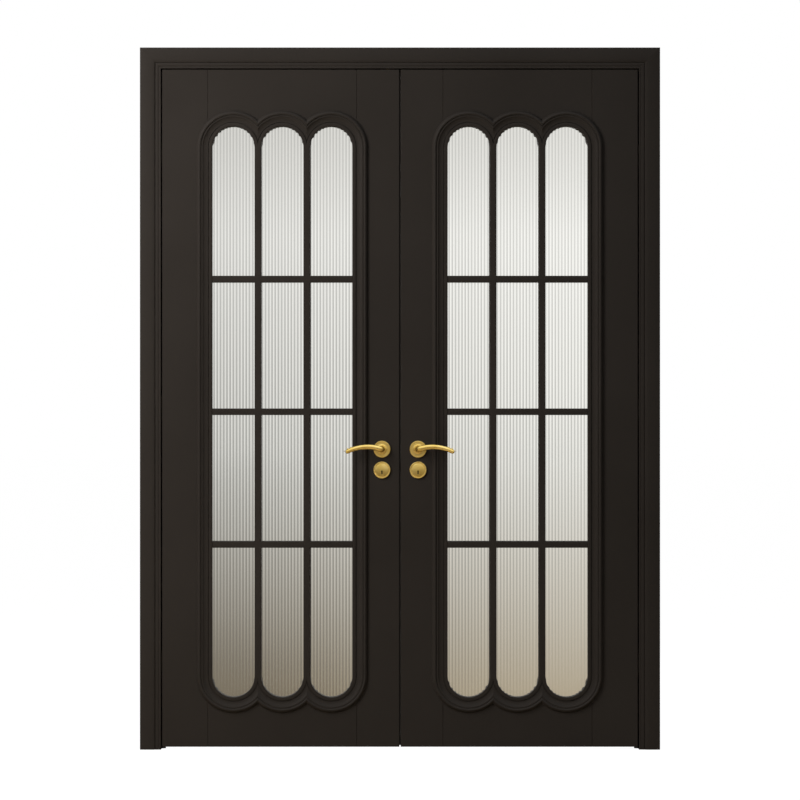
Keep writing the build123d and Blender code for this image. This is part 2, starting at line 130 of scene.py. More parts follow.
def keyhole_box():
    """The lowest and highest corners of the slot in the left keyhole plates."""
    places = [vertex.co for vertex in frame["nodes"]["left_escutcheons"].data.vertices]
    middle = Vector((spindle_x, 0.0, key_height))
    reach = rose_radius * SLOT_REACH
    slot = [p for p in places if (Vector((p.x, 0.0, p.z)) - middle).length < reach]
    axes = list(zip(*slot))
    return Vector([min(axis) for axis in axes]), Vector([max(axis) for axis in axes])


keyhole_low, keyhole_high = keyhole_box()


# Sizes and looks that a user may change


def length(name, description, default):
    """A length in metres."""
    return FloatProperty(
        name=name, description=description, default=default, min=0.0, unit="LENGTH", precision=4
    )


def colour(name, description, default):
    """A linear colour."""
    return FloatVectorProperty(
        name=name, description=description, default=(*default, 1.0), size=4, min=0.0, subtype="COLOR"
    )


def share(name, description, default):
    """A share from 0 to 1."""
    return FloatProperty(
        name=name, description=description, default=default, min=0.0, max=1.0, subtype="FACTOR"
    )


def amount(name, description, default):
    """A plain strength or power."""
    return FloatProperty(name=name, description=description, default=default, min=0.0)


def count(name, description, default):
    """A number of facets."""
    return IntProperty(name=name, description=description, default=default, min=4)


class CasingSizes(PropertyGroup):
    """The casing's section, measured from the leaf outwards."""

    lip_width: length("Lip width", "Flat lip beside the leaf", 0.006)
    lip_thickness: length("Lip thickness", "How far the lip stands off the lining", 0.0098)
    quirk_width: length("Quirk width", "Width of the two sunk lines", 0.0012)
    quirk_thickness: length("Quirk floor", "Thickness left under the sunk lines", 0.0092)
    bead_width: length("Bead width", "Width of the round bead", 0.0103)
    bead_thickness: length("Bead thickness", "Top of the round bead", 0.0104)
    field_thickness: length("Field start", "Thickness where the crowned field starts", 0.0116)
    crest_width: length("Crest place", "From the field's start to its highest line", 0.0115)
    edge_thickness: length("Edge thickness", "Thickness where the field ends", 0.0118)
    edge_radius: length("Edge rounding", "Rounding of the outer edge", 0.0025)
    arris: length("Arris", "Rounding of the lip's edges", 0.0012)


class MouldingSizes(PropertyGroup):
    """The scalloped moulding's section, measured from the edge of the glass outwards."""

    bead_width: length("Bead width", "Bead beside the glass", 0.0110)
    edge_radius: length("Bead rounding", "Rounding of the bead's and the bars' edges", 0.0022)
    quirk_width: length("Quirk width", "Sunk line between bead and cove", 0.0022)
    quirk_height: length("Quirk height", "Floor of the sunk line over the leaf", 0.0006)
    cove_width: length("Cove width", "Hollow part of the moulding", 0.0155)
    cove_low: length("Cove start", "Height where the hollow starts", 0.0032)
    cove_high: length("Cove end", "Height where the hollow ends", 0.0070)
    cove_sag: length("Cove sag", "How hollow the cove is", 0.0011)
    fillet_width: length("Fillet width", "Flat between hollow and outer crown", 0.0048)
    fillet_height: length("Fillet height", "Height of that flat", 0.0084)
    groove_width: length("Groove width", "Sunk line before the outer crown", 0.0010)
    groove_height: length("Groove height", "Floor of that sunk line", 0.0070)
    crown_share: share("Crown place", "Where the outer crown is highest, across its width", 0.34)
    crown_bow: length("Crown bow", "How much the outer slope bows out", 0.0016)
    foot_width: length("Foot width", "Thin flat foot outside the slope", 0.0020)
    foot_height: length("Foot height", "Thickness of that foot", 0.0008)
    lobe_steps: count("Lobe steps", "Facets round each lobe", 30)


class GlassSizes(PropertyGroup):
    """The fluted pane."""

    flute_pitch: length("Flute pitch", "Width of one flute", 0.010)
    flute_depth: length("Flute depth", "How deep the valleys between flutes are", 0.0007)
    flute_steps: count("Flute steps", "Facets in a flute", 10)


class SealSizes(PropertyGroup):
    """The rubber seal where the leaves meet."""

    lip_thickness: length("Lip thickness", "Thickness of the soft lip", 0.0010)
    lip_clearance: length("Lip clearance", "Room between the lip and the other leaf", 0.00002)
    rounding: length("Rounding", "Rounding of the rubber's edges", 0.0005)


class FurnitureSizes(PropertyGroup):
    """The brass roses, keyhole plates and levers."""

    rim_width: length("Rim width", "Flat rim of a rose", 0.0036)
    rim_height: length("Rim height", "Height of the rim over the leaf", 0.0066)
    dish_height: length("Dish height", "Height of the sunk ring inside the rim", 0.0054)
    boss_radius: length("Boss radius", "Raised middle of the lever rose", 0.0132)
    bore_radius: length("Bore radius", "Hole for the lever's neck", 0.0084)
    rounding: length("Rounding", "Rounding of turned edges", 0.0012)
    neck_radius: length("Neck radius", "Round neck of a lever", 0.008)
    hub_radius: length("Hub radius", "Half the grip's height at its hub", 0.0084)
    tip_radius: length("Tip radius", "Half the grip's height at its tip", 0.0066)
    grip_depth: length("Grip depth", "Thickness of the grip, front to back", 0.012)
    elbow_radius: length("Elbow radius", "Bend from the neck into the grip", 0.0095)
    rise: length("Rise", "How far the grip bows upwards", 0.0108)
    tip_drop: length("Tip drop", "How far the tip lies under the hub", 0.0068)
    turned_steps: count("Turned steps", "Facets round a rose", 72)
    grip_steps: count("Grip steps", "Facets round a lever", 36)


class FinishLooks(PropertyGroup):
    """Colours and gloss of the finishes."""

    paint: colour("Paint", "Satin dark paint", (0.0146, 0.0125, 0.0109))
    paint_light: colour("Paint, light", "Lighter drifts in the paint", (0.0180, 0.0155, 0.0137))
    paint_sheen: share("Paint sheen", "Specular level of the paint", 0.11)
    paint_roughness: share("Paint roughness", "How matt the paint is", 0.47)
    brass: colour("Brass", "Satin brass", (0.72, 0.51, 0.13))
    brass_light: colour("Brass, light", "Lighter streaks in the brass", (0.84, 0.64, 0.22))
    brass_roughness: share("Brass roughness", "How matt the brass is", 0.30)
    steel: colour("Steel", "Zinc-plated steel", (0.48, 0.48, 0.47))
    steel_light: colour("Steel, light", "Lighter patches in the zinc", (0.62, 0.62, 0.60))
    steel_roughness: share("Steel roughness", "How matt the zinc is", 0.39)
    # The dark case steel is partly painted shade: its dark tone makes the keyhole slots and the gaps,
    # where hinges and cases show, read as shaded
    case: colour("Case steel", "Oiled steel of hinges and cases", (0.045, 0.040, 0.034))
    case_light: colour("Case steel, light", "Lighter patches in the oil", (0.075, 0.067, 0.057))
    case_roughness: share("Case roughness", "How matt the oiled steel is", 0.58)
    rubber: colour("Rubber", "Seal rubber", (0.0035, 0.0033, 0.0031))
    rubber_light: colour("Rubber, light", "Bloom on the rubber", (0.0065, 0.0062, 0.0058))
    rubber_sheen: share("Rubber sheen", "Specular level of the rubber", 0.15)
    rubber_roughness: share("Rubber roughness", "How matt the rubber is", 0.79)
    glass: colour("Glass", "Body colour of the glass", (0.96, 0.963, 0.95))
    glass_roughness: share("Glass roughness", "Frosting of the glass", 0.06)


class StageSettings(PropertyGroup):
    """Camera, floor and light."""

    camera_distance: length("Camera distance", "From the leaf's face to the camera", 12.0)
    view_width: length("View width", "Width of the picture at the leaf's face", 2.48)
    view_height: length("View height", "Height of the picture's middle", 1.0835)
    key_power: amount("Key light", "Power of the large left light", 168.0)
    fill_power: amount("Fill light", "Power of the right light", 4.0)
    rear_power: amount("Rear light", "Power of the light behind", 110.0)
    ambience: amount("Ambience", "Strength of the room's light", 0.11)
    mirrored: amount("Mirrored room", "Brightness of the room in gloss", 1.5)
    floor_reach: length("Floor reach", "From the doors to the floor's edge", 60.0)
    floor_glow: amount("Floor glow", "Even brightness of the floor", 0.985)
    floor_tone: colour("Floor tone", "What the floor adds under the lights", (0.12, 0.12, 0.12))
    floor_bounce: colour("Floor bounce", "Light that the floor throws back", (0.62, 0.50, 0.36))
    # Painted shadow of the doors on the floor behind them, seen through the glass: this tone is darker
    # and warmer than the far floor
    near_floor_painted_shadow: colour("Near floor", "Near floor through the glass", (0.24, 0.185, 0.105))
    far_floor: colour("Far floor", "Far floor through the glass", (0.635, 0.63, 0.60))
    low_haze: colour("Low backdrop", "Foot of the backdrop through the glass", (0.62, 0.615, 0.585))
    mid_haze: colour("Bright backdrop", "Its brightest part", (0.80, 0.795, 0.77))
    top_haze: colour("High backdrop", "Its upper part", (0.64, 0.632025, 0.60445))
    floor_swing: share("Floor swing", "Sideways swing of the floor's brightness", 0.44)
    low_swing: share("Low swing", "The same at the foot of the backdrop", 0.42)
    high_swing: share("High swing", "The same higher up", 0.22)


# Mesh helpers


def rounded(start, corner, end, steps=6):
    """Points of a quarter ellipse from start to end that would meet at the corner."""
    start, corner, end = Vector(start), Vector(corner), Vector(end)
    turns = [math.pi / 2 * i / steps for i in range(steps + 1)]
    return [
        corner + (start - corner) * (1 - math.sin(turn)) + (end - corner) * (1 - math.cos(turn))
        for turn in turns
    ]


def bowed(start, end, rise, steps=16):
    """Points of a shallow bow from start to end, that rises in the second coordinate."""
    start, end = Vector(start), Vector(end)
    shares = [i / steps for i in range(steps + 1)]
    return [start.lerp(end, t) + Vector((0, 4 * rise * t * (1 - t))) for t in shares]


def bridge(bm, first, second):
    """Quads between two rings of vertices."""
    for i in range(len(first)):
        j = (i + 1) % len(first)
        bm.faces.new((first[i], first[j], second[j], second[i]))


def prism(lower, upper):
    """A closed bar between two like outlines."""
    bm = bmesh.new()
    rings = [[bm.verts.new(point) for point in ring] for ring in (lower, upper)]
    bridge(bm, *rings)
    for ring in rings:
        bm.faces.new(ring)
    return bm


def on_leaf(side, face, across, out, up):
    """A place on a leaf, from its distance across, out of the leaf's face, and up."""
    x = across if side == "left" else -across
    y = leaf_low.y - out if face == "front" else leaf_high.y + out
    return Vector((x, y, up))


def closed_mesh(bm):
    """A closed mesh with its faces outwards."""
    bmesh.ops.remove_doubles(bm, verts=bm.verts, dist=MERGE_DISTANCE)
    bmesh.ops.recalc_face_normals(bm, faces=bm.faces)
    mesh = bpy.data.meshes.new("closed_mesh")
    bm.to_mesh(mesh)
    bm.free()
    return mesh


def object_of(name, mesh):
    """An object at the origin that shows a mesh."""
    made = bpy.data.objects.new(name, mesh)
    bpy.context.scene.collection.objects.link(made)
    return made


def evaluated_mesh(piece):
    """The plain mesh that a piece's modifiers make."""
    graph = bpy.context.evaluated_depsgraph_get()
    return bpy.data.meshes.new_from_object(piece.evaluated_get(graph))


def dress(node, slot, mesh, smooth_angle=PLAIN_ANGLE):
    """Puts a finished mesh, smooth but for its sharp edges, in the place of its solid."""
    mesh.name = "shaped_" + node
    mesh.shade_smooth()
    mesh.set_sharp_from_angle(angle=math.radians(smooth_angle))
    mesh.materials.clear()
    mesh.materials.append(finish(slot))
    piece = object_of("shaped_" + node, mesh)
    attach(piece, frame["nodes"][node]["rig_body"])
    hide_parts(node)
    return piece


# Node helpers


def add_node(tree, kind, *values, **settings):
    """A node whose fields and inputs take these values, or are joined to these sockets."""
    made = tree.nodes.new(kind)
    targets = list(zip(made.inputs, values))
    for name, value in settings.items():
        if hasattr(made, name):
            setattr(made, name, value)
        else:
            targets.append((made.inputs[name.replace("_", " ")], value))
    for socket, value in targets:
        if isinstance(value, NodeSocket):
            tree.links.new(value, socket)
        else:
            socket.default_value = value
    return made


def result_of(tree, kind, *values, **settings):
    """The first output of a new node."""
    return add_node(tree, kind, *values, **settings).outputs[0]


def joined(tree, kind, socket, shapes, **settings):
    """The first output of a new node that takes several shapes in one socket."""
    made = add_node(tree, kind, **settings)
    for shape in shapes:
        tree.links.new(shape, made.inputs[socket])
    return made.outputs[0]


def maths(tree, operation, *values):
    """A sum of sockets and numbers."""
    return result_of(tree, "ShaderNodeMath", *values, operation=operation)


def axes_of(tree, place):
    """The three coordinates of a place."""
    return add_node(tree, "ShaderNodeSeparateXYZ", place).outputs


def tone_ramp(tree, factor, *stops):
    """Tones that blend into one another, each at its own value of the factor."""
    ramp = add_node(tree, "ShaderNodeValToRGB", factor)
    elements = ramp.color_ramp.elements
    while len(elements) < len(stops):
        elements.new(1.0)
    for element, (place, tone) in zip(elements, stops):
        element.position = place
        element.color = tone
    return ramp.outputs[0]


# Finishes


class Grain(NamedTuple):
    """A noise over the object's own coordinates, that may be stretched into streaks."""

    scale: float
    detail: float = 2.0
    stretch: tuple = (1.0, 1.0, 1.0)

    def of(self, tree, place):
        """The noise's value at a place."""
        spread = result_of(tree, "ShaderNodeMapping", Vector=place, Scale=self.stretch)
        return result_of(
            tree, "ShaderNodeTexNoise", Vector=spread, Scale=self.scale, Detail=self.detail
        )


# Where on a noise the dark and the light tone of a finish lie
TINT_PLACES = (0.3, 0.7)


def coat(name, tones, tint, gloss, roughness, spread, relief, strength, depth=0.0002, sockets=None):
    """A finish: drifting tones, uneven gloss and a fine relief, each along its own grain."""
    material = bpy.data.materials.new(name)
    material.use_nodes = True
    tree = material.node_tree
    shader = tree.nodes["Principled BSDF"].inputs
    place = add_node(tree, "ShaderNodeTexCoord").outputs["Object"]
    for label, value in (sockets or {}).items():
        shader[label].default_value = value
    if tint:
        ramp = tone_ramp(tree, tint.of(tree, place), *zip(TINT_PLACES, tones))
        tree.links.new(ramp, shader["Base Color"])
    limits = {"To_Min": roughness - spread, "To_Max": roughness + spread}
    rough = result_of(tree, "ShaderNodeMapRange", Value=gloss.of(tree, place), **limits)
    tree.links.new(rough, shader["Roughness"])
    height = relief.of(tree, place)
    bump = result_of(tree, "ShaderNodeBump", Height=height, Strength=strength, Distance=depth)
    tree.links.new(bump, shader["Normal"])
    return material


def dark_paint(looks):
    """Sprayed satin paint with a faint texture."""
    return coat(
        "dark_paint", (looks.paint, looks.paint_light), Grain(2.2, 3.0),
        Grain(60.0), looks.paint_roughness, spread=0.05, relief=Grain(900.0), strength=0.10,
        sockets={"Specular IOR Level": looks.paint_sheen},
    )


def satin_brass(looks):
    """Brushed satin brass."""
    streaks = Grain(300.0, 3.0, (0.25, 1.0, 3.0))
    return coat(
        "satin_brass", (looks.brass, looks.brass_light), Grain(40.0),
        streaks, looks.brass_roughness, spread=0.03, relief=streaks, strength=0.02,
        sockets={"Metallic": 1.0},
    )


def plated_steel(looks):
    """Zinc-plated steel with a faint cloudy grain."""
    cloud = Grain(90.0, 4.0)
    return coat(
        "plated_steel", (looks.steel, looks.steel_light), cloud,
        cloud, looks.steel_roughness, spread=0.09, relief=Grain(700.0), strength=0.08,
        sockets={"Metallic": 1.0},
    )


def case_steel(looks):
    """Dark steel of the hinges and of the cases inside the leaves. Its darkness is partly painted
    shade: it makes the keyhole slots and the gaps, where these parts show, read as shaded.
    """
    cloud = Grain(110.0, 4.0)
    return coat(
        "case_steel", (looks.case, looks.case_light), cloud,
        cloud, looks.case_roughness, spread=0.08, relief=Grain(600.0), strength=0.10,
        sockets={"Metallic": 1.0},
    )


def seal_rubber(looks):
    """Matt black rubber."""
    return coat(
        "seal_rubber", (looks.rubber, looks.rubber_light), Grain(30.0),
        Grain(120.0), looks.rubber_roughness, spread=0.07, relief=Grain(800.0), strength=0.15,
        sockets={"Specular IOR Level": looks.rubber_sheen},
    )


def fluted_glass(looks):
    """Lightly frosted clear glass of one even colour."""
    return coat(
        "fluted_glass", (), None,
        Grain(25.0), looks.glass_roughness, spread=0.02, relief=Grain(40.0, 1.0), strength=0.03,
        depth=0.0003, sockets={"Base Color": looks.glass, "Transmission Weight": 1.0, "IOR": 1.5},
    )


FINISHES = {
    "dark_paint": dark_paint,
    "satin_brass": satin_brass,
    "steel": plated_steel,
    "case_steel": case_steel,
    "seal_rubber": seal_rubber,
    "fluted_glass": fluted_glass,
}
made_finishes = {}


def finish(slot):
    """The material of a slot, made once."""
    if slot not in made_finishes:
        made_finishes[slot] = FINISHES[slot](bpy.context.scene.door_finishes)
    return made_finishes[slot]


# Casings


def casing_section(sizes):
    """The casing's outline: distance from its inner edge, and thickness."""
    lip, arris = sizes.lip_width, sizes.arris
    lip_top, floor = sizes.lip_thickness, sizes.quirk_thickness
    bead_top = sizes.bead_thickness
    bead_start = lip + sizes.quirk_width
    bead_end = bead_start + sizes.bead_width
    bead_middle = (bead_start + bead_end) / 2
    field_start = bead_end + sizes.quirk_width
    field_end = casing_width - sizes.edge_radius
    field_top, edge_top = sizes.field_thickness, sizes.edge_thickness
    field_bow = (casing_crown - edge_top) / 4
    crest = field_start + sizes.crest_width
    edge_low = edge_top - sizes.edge_radius
    points = [Vector((0, 0))]
    points += rounded((0, lip_top - arris), (0, lip_top), (arris, lip_top), 4)
    points += rounded((lip - arris, lip_top), (lip, lip_top), (lip, lip_top - arris), 4)
    points += [Vector((lip, floor)), Vector((bead_start, floor))]
    points += rounded((bead_start, floor), (bead_start, bead_top), (bead_middle, bead_top))[1:]
    points += rounded((bead_middle, bead_top), (bead_end, bead_top), (bead_end, floor))[1:]
    points.append(Vector((field_start, floor)))
    points += rounded((field_start, field_top), (field_start, casing_crown), (crest, casing_crown), 8)
    points += bowed((crest, casing_crown), (field_end, edge_top), field_bow)[1:]
    points += rounded((field_end, edge_top), (casing_width, edge_top), (casing_width, edge_low))[1:]
    points.append(Vector((casing_width, 0)))
    return points


class DOORS_OT_casings(Operator):
    """Makes the mitred casings of both faces"""

    bl_idname = "doors.casings"
    bl_label = "Casings"

    def execute(self, context):
        section = casing_section(context.scene.door_casing)
        for face in FACES:
            feet, mitres = [
                [self.outline(section, face, way, mitred) for way in (-1, 1)]
                for mitred in (False, True)
            ]
            ends = {
                "left": (feet[0], mitres[0]),
                "right": (feet[1], mitres[1]),
                "head": mitres,
            }
            for place, (lower, upper) in ends.items():
                dress(f"{face}_casing_{place}", "dark_paint", closed_mesh(prism(lower, upper)))
        return {"FINISHED"}

    def outline(self, section, face, way, mitred):
        """The section at a leg's foot, or at its mitre with the head."""
        outline = []
        for across, thickness in section:
            y = lining_low.y - thickness if face == "front" else lining_high.y + thickness
            up = opening_height + across if mitred else 0
            outline.append(Vector((way * (half_opening + across), y, up)))
        return outline


# Mouldings


def moulding_section(sizes):
    """The moulding's closed outline: distance from the glass, and height over the leaf."""
    bead, edge, top = sizes.bead_width, sizes.edge_radius, bead_height
    outer_edge = bead - half_bar
    quirk_end = bead + sizes.quirk_width
    cove_end = quirk_end + sizes.cove_width
    fillet_end = cove_end + sizes.fillet_width
    groove_end = fillet_end + sizes.groove_width
    crown = groove_end + (moulding_width - groove_end) * sizes.crown_share
    foot = moulding_width - sizes.foot_width
    fillet_top, fillet_edge = sizes.fillet_height, sizes.fillet_height - sizes.cove_high
    points = [Vector((0, -tongue_depth))]
    points += rounded((0, top - edge), (0, top), (edge, top), 5)
    points += rounded((half_bar, top), (bead, top), (bead, top - outer_edge), 4)
    points += [Vector((bead, sizes.quirk_height)), Vector((quirk_end, sizes.quirk_height))]
    points += bowed((quirk_end, sizes.cove_low), (cove_end, sizes.cove_high), -sizes.cove_sag, 10)
    points += rounded(
        (cove_end, sizes.cove_high), (cove_end, fillet_top), (cove_end + fillet_edge, fillet_top), 4
    )[1:]
    points += [Vector((fillet_end, fillet_top)), Vector((fillet_end, sizes.groove_height))]
    points += rounded(
        (groove_end, sizes.groove_height), (groove_end, moulding_height), (crown, moulding_height), 6
    )
    points += bowed((crown, moulding_height), (foot, sizes.foot_height), sizes.crown_bow, 9)[1:]
    points += [Vector((moulding_width, sizes.foot_height)), Vector((moulding_width, 0))]
    points += [Vector((half_bar, 0)), Vector((half_bar, -tongue_depth))]
    return points


def lobe_ring(section, lobe, turn_share, end):
    """The section's points on one lobe, at a share of its turn, at the top or bottom end."""
    centre = (lobe - (LIGHT_COLUMNS - 1) / 2) * light_pitch
    ring = []
    for distance, height in section:
        radius = light_radius + distance
        cusp = math.acos(min(1.0, light_pitch / 2 / radius))
        start = math.pi if lobe == 0 else math.pi - cusp
        stop = 0.0 if lobe == LIGHT_COLUMNS - 1 else cusp
        turn = start + (stop - start) * turn_share
        across = centre + radius * math.cos(turn)
        up = end * (spring_height + radius * math.sin(turn))
        ring.append((across, height, up))
    return ring


def moulding_shape(section, steps, side, face):
    """The moulding of one face of one leaf: three lobes at each end and two straight sides."""
    bm = bmesh.new()

    def ring(lobe, turn_share, end):
        return [
            bm.verts.new(on_leaf(side, face, glazed_x + across, height, glazed_z + up))
            for across, height, up in lobe_ring(section, lobe, turn_share, end)
        ]

    outer_rings = []
    for end in (1, -1):
        for lobe in range(LIGHT_COLUMNS):
            rings = [ring(lobe, i / steps, end) for i in range(steps + 1)]
            for first, second in zip(rings, rings[1:]):
                bridge(bm, first, second)
            if lobe == 0:
                outer_rings.append(rings[0])
            if lobe == LIGHT_COLUMNS - 1:
                outer_rings.append(rings[-1])
    bridge(bm, outer_rings[0], outer_rings[2])
    bridge(bm, outer_rings[1], outer_rings[3])
    bmesh.ops.remove_doubles(bm, verts=bm.verts, dist=MERGE_DISTANCE)
    open_edges = [edge for edge in bm.edges if edge.is_boundary]
    bmesh.ops.holes_fill(bm, edges=open_edges, sides=0)
    return bm


class DOORS_OT_mouldings(Operator):
    """Makes the scalloped mouldings of both leaves, front and rear"""

    bl_idname = "doors.mouldings"
    bl_label = "Mouldings"

    def execute(self, context):
        sizes = context.scene.door_moulding
        section = moulding_section(sizes)
        for side, face in LEAF_FACES:
            shape = moulding_shape(section, sizes.lobe_steps, side, face)
            dress(f"{side}_{face}_moulding", "dark_paint", closed_mesh(shape), TRIM_ANGLE)
        return {"FINISHED"}


# Node trees that make what repeats


def start_tree(name, lengths, counts):
    """A geometry node tree and its inputs: lengths, counts and the place of its middle."""
    tree = bpy.data.node_groups.new(name, "GeometryNodeTree")
    tree.is_modifier = True
    tree.interface.new_socket("Geometry", in_out="OUTPUT", socket_type="NodeSocketGeometry")
    for kind, labels in (("Float", lengths), ("Int", counts), ("Vector", ["Middle"])):
        for label in labels:
            tree.interface.new_socket(label, in_out="INPUT", socket_type="NodeSocket" + kind)
    return tree, tree.nodes.new("NodeGroupInput").outputs


def end_tree(tree, shape, middle, material):
    """Ends a tree with plain geometry about its middle, in its finish."""
    placed = result_of(tree, "GeometryNodeTransform", Geometry=shape, Translation=middle)
    real = result_of(tree, "GeometryNodeRealizeInstances", Geometry=placed)
    faced = result_of(tree, "GeometryNodeSetMaterial", Geometry=real, Material=material)
    tree.links.new(faced, tree.nodes.new("NodeGroupOutput").inputs["Geometry"])


def tree_mesh(name, tree, values):
    """The plain mesh that a tree makes with these values of its named inputs."""
    carrier = object_of(name, bpy.data.meshes.new(name))
    modifier = carrier.modifiers.new(name, "NODES")
    modifier.node_group = tree
    for item in tree.interface.items_tree:
        if item.in_out == "INPUT" and item.name in values:
            modifier[item.identifier] = values[item.name]
    mesh = evaluated_mesh(carrier)
    bpy.data.objects.remove(carrier)
    return mesh


def vector_of(tree, x=0.0, y=0.0, z=0.0):
    """A vector of sockets and numbers."""
    return result_of(tree, "ShaderNodeCombineXYZ", x, y, z)


def pane_tree(material):
    """A pane with upright round flutes on its front face."""
    lengths = ("Width", "Height", "Thickness", "Flute Depth")
    tree, given = start_tree("fluted_pane", lengths, ("Flutes", "Steps"))
    size = vector_of(tree, given["Width"], given["Thickness"], given["Height"])
    columns = maths(tree, "MULTIPLY_ADD", given["Flutes"], given["Steps"], 1.0)
    blank = result_of(
        tree, "GeometryNodeMeshCube", Size=size, Vertices_X=columns, Vertices_Y=2, Vertices_Z=2
    )
    axes = axes_of(tree, result_of(tree, "GeometryNodeInputPosition"))
    across = maths(tree, "ADD", maths(tree, "DIVIDE", axes["X"], given["Width"]), 0.5)
    turn = maths(tree, "MULTIPLY", maths(tree, "MULTIPLY", across, given["Flutes"]), math.pi)
    valley = maths(tree, "SUBTRACT", 1.0, maths(tree, "ABSOLUTE", maths(tree, "SINE", turn)))
    sink = maths(tree, "MULTIPLY", valley, given["Flute Depth"])
    front = result_of(
        tree, "FunctionNodeCompare", axes["Y"], 0.0, data_type="FLOAT", operation="LESS_THAN"
    )
    fluted = result_of(
        tree, "GeometryNodeSetPosition",
        Geometry=blank, Selection=front, Offset=vector_of(tree, y=sink),
    )
    end_tree(tree, fluted, given["Middle"], material)
    return tree


# Facets in each rounded edge of a glazing bar
BAR_EDGE_STEPS = 5


def grid_tree(material):
    """A grid of upright and cross bars with rounded edges, joined into one piece."""
    lengths = (
        "Bar Width", "Bar Depth", "Rounding",
        "Upright Pitch", "Upright Length", "Cross Pitch", "Cross Length",
    )
    tree, given = start_tree("glazing_grid", lengths, ("Uprights", "Cross Bars"))
    outline = result_of(
        tree, "GeometryNodeCurvePrimitiveQuadrilateral",
        Width=given["Bar Width"], Height=given["Bar Depth"],
    )
    eased = result_of(
        tree, "GeometryNodeFilletCurve",
        mode="POLY", Curve=outline, Count=BAR_EDGE_STEPS, Radius=given["Rounding"],
    )
    face = result_of(tree, "GeometryNodeFillCurve", mode="NGONS", Curve=eased)

    def bar(span):
        foot_place = vector_of(tree, z=maths(tree, "MULTIPLY", span, -0.5))
        foot = result_of(tree, "GeometryNodeTransform", Geometry=face, Translation=foot_place)
        raised = result_of(
            tree, "GeometryNodeExtrudeMesh",
            mode="FACES", Mesh=foot, Offset=vector_of(tree, z=span), Offset_Scale=1.0, Individual=False,
        )
        base = result_of(tree, "GeometryNodeFlipFaces", Mesh=foot)
        closed = joined(tree, "GeometryNodeJoinGeometry", "Geometry", (raised, base))
        return result_of(
            tree, "GeometryNodeMergeByDistance", Geometry=closed, Distance=MERGE_DISTANCE
        )

    def row(shape, number, step, along):
        reach = maths(tree, "MULTIPLY", maths(tree, "SUBTRACT", number, 1.0), -0.5)
        first = maths(tree, "MULTIPLY", reach, step)
        line = result_of(
            tree, "GeometryNodeMeshLine", mode="OFFSET", count_mode="TOTAL", Count=number,
            Start_Location=vector_of(tree, **{along: first}), Offset=vector_of(tree, **{along: step}),
        )
        copies = result_of(tree, "GeometryNodeInstanceOnPoints", Points=line, Instance=shape)
        return result_of(tree, "GeometryNodeRealizeInstances", Geometry=copies)

    upright = bar(given["Upright Length"])
    quarter_turn = (0.0, math.pi / 2, 0.0)
    level = result_of(
        tree, "GeometryNodeTransform", Geometry=bar(given["Cross Length"]), Rotation=quarter_turn
    )
    rows = (
        row(upright, given["Uprights"], given["Upright Pitch"], "x"),
        row(level, given["Cross Bars"], given["Cross Pitch"], "z"),
    )
    grid = joined(
        tree, "GeometryNodeMeshBoolean", 1, rows,
        operation="UNION", solver="EXACT", Self_Intersection=True,
    )
    end_tree(tree, grid, given["Middle"], material)
    return tree


# How near to a grid's side, in metres, the ends of its cross bars lie
BAR_END_REACH = 1e-5


def cross_pitch(node, side_x):
    """The distance between a grid's cross bars, from the solid's own bar ends."""
    places = [vertex.co for vertex in frame["nodes"][node].data.vertices]
    ends = {round(place.z, 5) for place in places if abs(place.x - side_x) < BAR_END_REACH}
    return (max(ends) - min(ends) - 2 * half_bar) / (LIGHT_ROWS - 2)


class DOORS_OT_glazing_bars(Operator):
    """Makes the glazing grids of both leaves, front and rear"""

    bl_idname = "doors.glazing_bars"
    bl_label = "Glazing bars"

    def execute(self, context):
        tree = grid_tree(finish("dark_paint"))
        for side, face in LEAF_FACES:
            node = f"{side}_{face}_glazing_bars"
            low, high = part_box(node)
            values = {
                "Bar Width": 2 * half_bar,
                "Bar Depth": high.y - low.y,
                "Rounding": context.scene.door_moulding.edge_radius,
                "Uprights": LIGHT_COLUMNS - 1,
                "Upright Pitch": light_pitch,
                "Upright Length": high.z - low.z,
                "Cross Bars": LIGHT_ROWS - 1,
                "Cross Pitch": cross_pitch(node, low.x),
                "Cross Length": high.x - low.x,
                "Middle": (low + high) / 2,
            }
            dress(node, "dark_paint", tree_mesh(node, tree, values), TRIM_ANGLE)
        return {"FINISHED"}


class DOORS_OT_glass(Operator):
    """Makes the fluted panes"""

    bl_idname = "doors.glass"
    bl_label = "Fluted glass"

    def execute(self, context):
        sizes = context.scene.door_glass
        tree = pane_tree(finish("fluted_glass"))
        for side in SIDES:
            node = f"{side}_fluted_glass"
            low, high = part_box(node)
            size = high - low
            values = {
                "Width": size.x,
                "Height": size.z,
                "Thickness": size.y,
                "Flute Depth": sizes.flute_depth,
                "Flutes": round(size.x / sizes.flute_pitch),
                "Steps": sizes.flute_steps,
                "Middle": (low + high) / 2,
            }
            dress(node, "fluted_glass", tree_mesh(node, tree, values), ROUND_ANGLE)
        return {"FINISHED"}


# Lever furniture


def turned(bm, outline, steps, side, face, height):
    """A turned ring or disc on a leaf: an outline of radius and distance out of the leaf."""
    turns = [2 * math.pi * i / steps for i in range(steps)]
    rings = []
    for radius, out in outline:
        offsets = [(radius * math.cos(t), radius * math.sin(t)) for t in turns] if radius else [(0, 0)]
        rings.append([
            bm.verts.new(on_leaf(side, face, spindle_x + across, out, height + up))
            for across, up in offsets
        ])
    for first, second in zip(rings, rings[1:]):
        if len(first) == len(second):
            bridge(bm, first, second)
        else:
            for i, vertex in enumerate(first):
                bm.faces.new((second[0], vertex, first[(i + 1) % steps]))
    if len(rings[-1]) > 1:
        bridge(bm, rings[-1], rings[0])
    else:
        bm.faces.new(rings[0])


def rim_outline(sizes):
    """The rim of a rose, from the leaf up and inwards to the dished ring."""
    edge, top = sizes.rounding, sizes.rim_height
    inner = rose_radius - sizes.rim_width
    points = [Vector((rose_radius, 0))]
    points += rounded((rose_radius, top - edge), (rose_radius, top), (rose_radius - edge, top), 5)
    points += rounded((inner + edge / 2, top), (inner, top), (inner, sizes.dish_height), 4)
    return points


